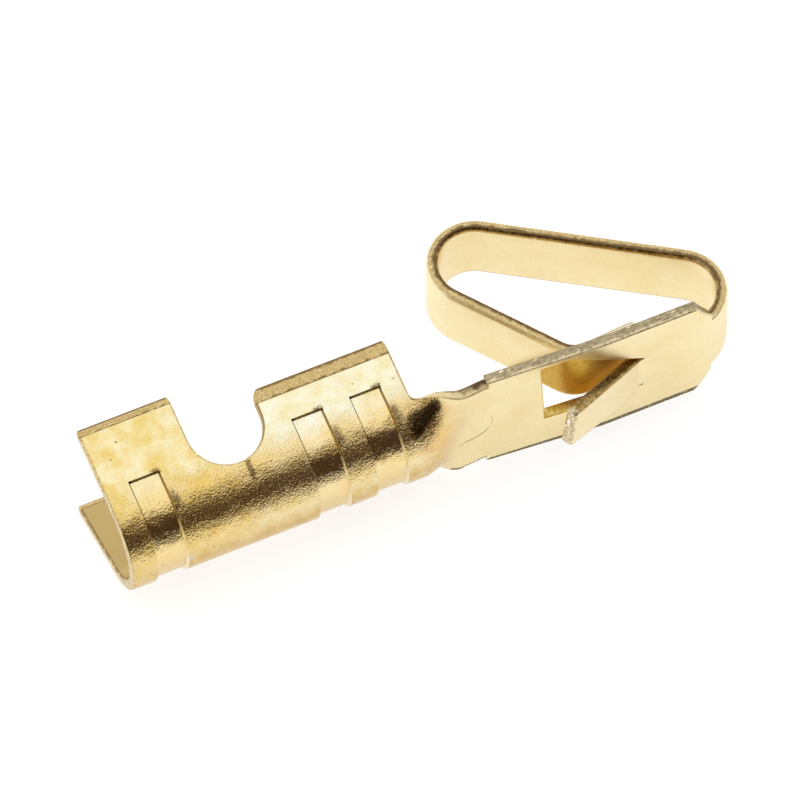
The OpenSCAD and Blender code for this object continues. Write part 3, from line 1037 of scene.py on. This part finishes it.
# %% [markdown]
# Lines run along these edges: a bright one where the punch slid in, a dark one where the sheet
# broke, and one where the coining of a wing tip begins. On the loop's round edges a dark middle band
# and a bright outer line are painted reflection, the tail's edge gets a painted highlight, and a dark
# line at the rear step of each pressed band is painted shade. The mesh carries two shares for this,
# how deep a point lies in the thickness and how far up a coined tip. A colour is laid between limits
# of such a share or of a place, and noise shifts them, so that no line is ruled straight.

# %% Lines along the edges
def add_band(material, colour, ragged, **limits):
    """Lays a colour between a rise and a fall, in each share or place, with a ragged border."""
    tree = material.node_tree
    place = millimetres(tree)
    drawn_at = drawn_place(place)
    band = 1.0
    for name, (rise, fall) in limits.items():
        if name in drawn_at:
            share = drawn_at[name]
        else:
            share = put(tree, "ShaderNodeAttribute", attribute_name=name).outputs["Fac"]
        if ragged:
            uneven = noise(place, 9.0, 3.0)
            uneven = remap(uneven, 0.3, 0.7, -ragged, ragged)
            share = calculate("ADD", share, uneven)
        if rise:
            band = multiply(band, remap(share, *rise))
        if fall:
            band = multiply(band, remap(share, *fall, 1, 0))
    under = tree.nodes["Principled BSDF"].inputs["Base Color"].links[0].from_socket
    shade(material, Base_Color=blend(band, under, colour))


dark_end = (plate_x - 0.75, plate_x - 0.2)
slot_front = ((conductor_x - 0.5, conductor_x - 0.1), (conductor_x + 0.2, conductor_x + 0.3))
tail_highlight_x = ((foot_c[0] + 0.2, foot_c[0] + 0.5), (front_c[0] - 0.6, front_c[0] - 0.4))
tail_highlight_y = (None, (1.3, 1.5))
add_band(sheared, (0.78, 0.65, 0.4), 0.2, depth_share=(None, (0.05, 0.35)))
add_band(neck_edge, (0.3, 0.2, 0.08), 0.1, depth_share=((0.6, 0.85), None))
add_band(neck_edge, (0.16, 0.1, 0.05), 0.12, X=(dark_end, None), depth_share=((0.0, 0.6), None))
add_band(barrel_edge, (0.34, 0.23, 0.09), 0.2, depth_share=((0.7, 0.9), None))
add_band(barrel_edge, (0.42, 0.3, 0.12), 0.1, X=slot_front)
# Painted reflection on the loop's round edges: a dark band in the middle and a bright line at the
# outer border; the tail's edge gets a painted highlight
add_band(loop_edge, (0.19, 0.12, 0.05), 0.08, depth_share=((0.4, 0.66), (0.78, 0.98)))
add_band(loop_edge, (0.93, 0.8, 0.48), 0.05, depth_share=(None, (0.06, 0.2)))
add_band(loop_edge, (0.84, 0.74, 0.52), 0.05, X=tail_highlight_x, Y=tail_highlight_y)
add_band(coined, (0.26, 0.17, 0.06), 0.1, coin_share=(None, (0.05, 0.2)))
add_band(coined, (0.26, 0.17, 0.07), 0.06, coin_share=((0.86, 0.99), None))
# Painted shade: a dark line along the rear step of each pressed band, where it goes down into the band
for middle in grooves:
    start, full, still_full, end = around(middle - groove_w / 2, 0.05, 0.1)
    add_band(shaded_groove_side, (0.09, 0.055, 0.02), 0.0, X=((start, full), (still_full, end)))
print("dark end of the neck from", round(dark_end[0], 2), "mm on")

# %% [markdown]
# ## Each area gets its finish
#
# Every face has kept the name of its area, so a table says which finish it gets, and the rest is
# the rolled face. The border of a coined tip stays a sharp crease. Flat areas are single large faces
# beside narrow rounds, so the normals are weighted by area, and the rounds take all of the bend.

# %% Each area of the mesh gets its finish
finish_of = {
    "pressed": pressed, "groove side": shaded_groove_side, "groove foot": highlit_groove_foot,
    "tip": coined, "tip edge": coined, "inner tip": coined,
    "inner barrel": inside, "inner pressed": inside, "inner groove side": inside,
    "inner groove foot": inside, "inner neck": inside,
    "barrel edge": barrel_edge, "neck edge": neck_edge, "plate edge": sheared,
    "ear edge": highlit_torn_tip, "window edge": sill, "lance edge": torn, "lance tip edge": highlit_torn_tip,
    "inner lance": lance_back, "loop edge": loop_edge,
}
finishes = [rolled, *dict.fromkeys(finish_of.values())]
owners = {}
for finish in finishes:
    terminal_mesh.materials.append(finish)
for polygon, area in zip(terminal_mesh.polygons, areas):
    polygon.material_index = finishes.index(finish_of.get(area, rolled))
    for key in polygon.edge_keys:
        owners.setdefault(key, set()).add(area)
for edge in terminal_mesh.edges:
    if owners[edge.key] in ({"tip", "barrel"}, {"inner tip", "inner barrel"}):
        edge.use_edge_sharp = True

even = terminal.modifiers.new("flat areas stay flat", "WEIGHTED_NORMAL")
even.weight = 80
even.keep_sharp = True
terminal.data = final_mesh(terminal)
terminal.data.name = "terminal_sheet"
terminal.modifiers.clear()
print("finishes:", len(finishes), "on areas", sorted(set(areas)))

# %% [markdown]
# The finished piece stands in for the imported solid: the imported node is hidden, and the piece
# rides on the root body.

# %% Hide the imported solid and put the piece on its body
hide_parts("terminal")
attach(terminal, "root")
print("handed over:", terminal.name)

# %% [markdown]
# ## A white table under a soft sky
#
# The photograph was taken on a white table under a large soft light, with a dark room in front. A
# bright metal only shows what is round it, so that dark front draws the brown band along the barrel.
# The paper glows only for rays that see it directly or in a mirror, so it is as white as the
# photograph's and still keeps the terminal's shadow.

# %% The table
half, paper_white, paper_glow = 1.0, 0.46, 0.82
corners = [(-half, -half, 0), (half, -half, 0), (half, half, 0), (-half, half, 0)]
table_mesh = bpy.data.meshes.new("white_table")
table_mesh.from_pydata(corners, [], [(0, 1, 2, 3)])
table = show("white_table", table_mesh)
white = new_finish("white_paper")
rays = put(white.node_tree, "ShaderNodeLightPath").outputs
seen_in = calculate("MAXIMUM", rays["Is Camera Ray"], rays["Is Glossy Ray"])
seen_in = calculate("MAXIMUM", seen_in, rays["Is Transmission Ray"])
glow = multiply(seen_in, paper_glow)
paper = (paper_white, paper_white, paper_white, 1)
shade(white, Base_Color=paper, Roughness=0.9, Specular_IOR_Level=0.0)
shade(white, Emission_Color=(1, 1, 1, 1), Emission_Strength=glow)
table_mesh.materials.append(white)
print("table:", 2 * half, "m wide")

# %% [markdown]
# The world is bright overhead, at the sides and behind, and dark low in front. Between the two it
# is tan, as the border of a real room is, because brass that mirrors a grey border looks green. A
# small softbox overhead adds the shadow.

# %% The sky and the lamp
overhead, border, dark_room = (0.95, 0.95, 0.95), (0.6, 0.48, 0.27), (0.06, 0.037, 0.026)
world = bpy.data.worlds.new("studio")
world.use_nodes = True
bpy.context.scene.world = world
sky = world.node_tree
towards = parts_of(put(sky, "ShaderNodeTexCoord").outputs["Generated"])
front = remap(towards["Y"], -0.5, -0.08, 1, 0)
low = remap(towards["Z"], 0.84, 1.0, 1, 0)
dim = multiply(front, low)
lit = blend(remap(dim, 0.0, 0.6), overhead, border)
seen = blend(remap(dim, 0.45, 1.0), lit, dark_room)
sky.links.new(seen, sky.nodes["Background"].inputs["Color"])

lamp_data = bpy.data.lights.new("softbox", "AREA")
lamp_data.shape, lamp_data.size, lamp_data.energy = "SQUARE", 0.25, 0.03
lamp = show("softbox", lamp_data)
lamp.location = (0.0, 0.0, 0.35)
print("sky:", len(sky.nodes), "nodes, and a softbox", lamp_data.size, "m wide")

# %% [markdown]
# ## The camera
#
# The photograph is taken from far away, 59 degrees above the table, so a long lens gives its nearly
# parallel view. The scale on the picture is set by the plate's width.

# %% The camera
turn, rise, distance = math.radians(24.2), math.radians(59), 0.4
pixels_per_mm, picture = 48.5, 800
right = Vector((math.cos(turn), -math.sin(turn), 0))
up = Vector((math.sin(rise) * math.sin(turn), math.sin(rise) * math.cos(turn), math.cos(rise)))
look = Vector((math.sin(turn) * math.cos(rise), math.cos(turn) * math.cos(rise), -math.sin(rise)))
target = Vector((-0.2284, -0.2399, 1.7581)) * MM
camera_data = bpy.data.cameras.new("camera")
camera_data.sensor_width = 36
camera_data.lens = camera_data.sensor_width * distance / (picture / pixels_per_mm * MM)
camera_data.clip_start, camera_data.clip_end = 0.01, 10
camera = show("camera", camera_data)
camera.matrix_world = Matrix((right, up, -look)).transposed().to_4x4()
camera.location = target - look * distance
bpy.context.scene.camera = camera
bpy.context.scene.view_settings.view_transform = "Standard"
print("camera:", round(camera_data.lens), "mm lens,", distance, "m away")
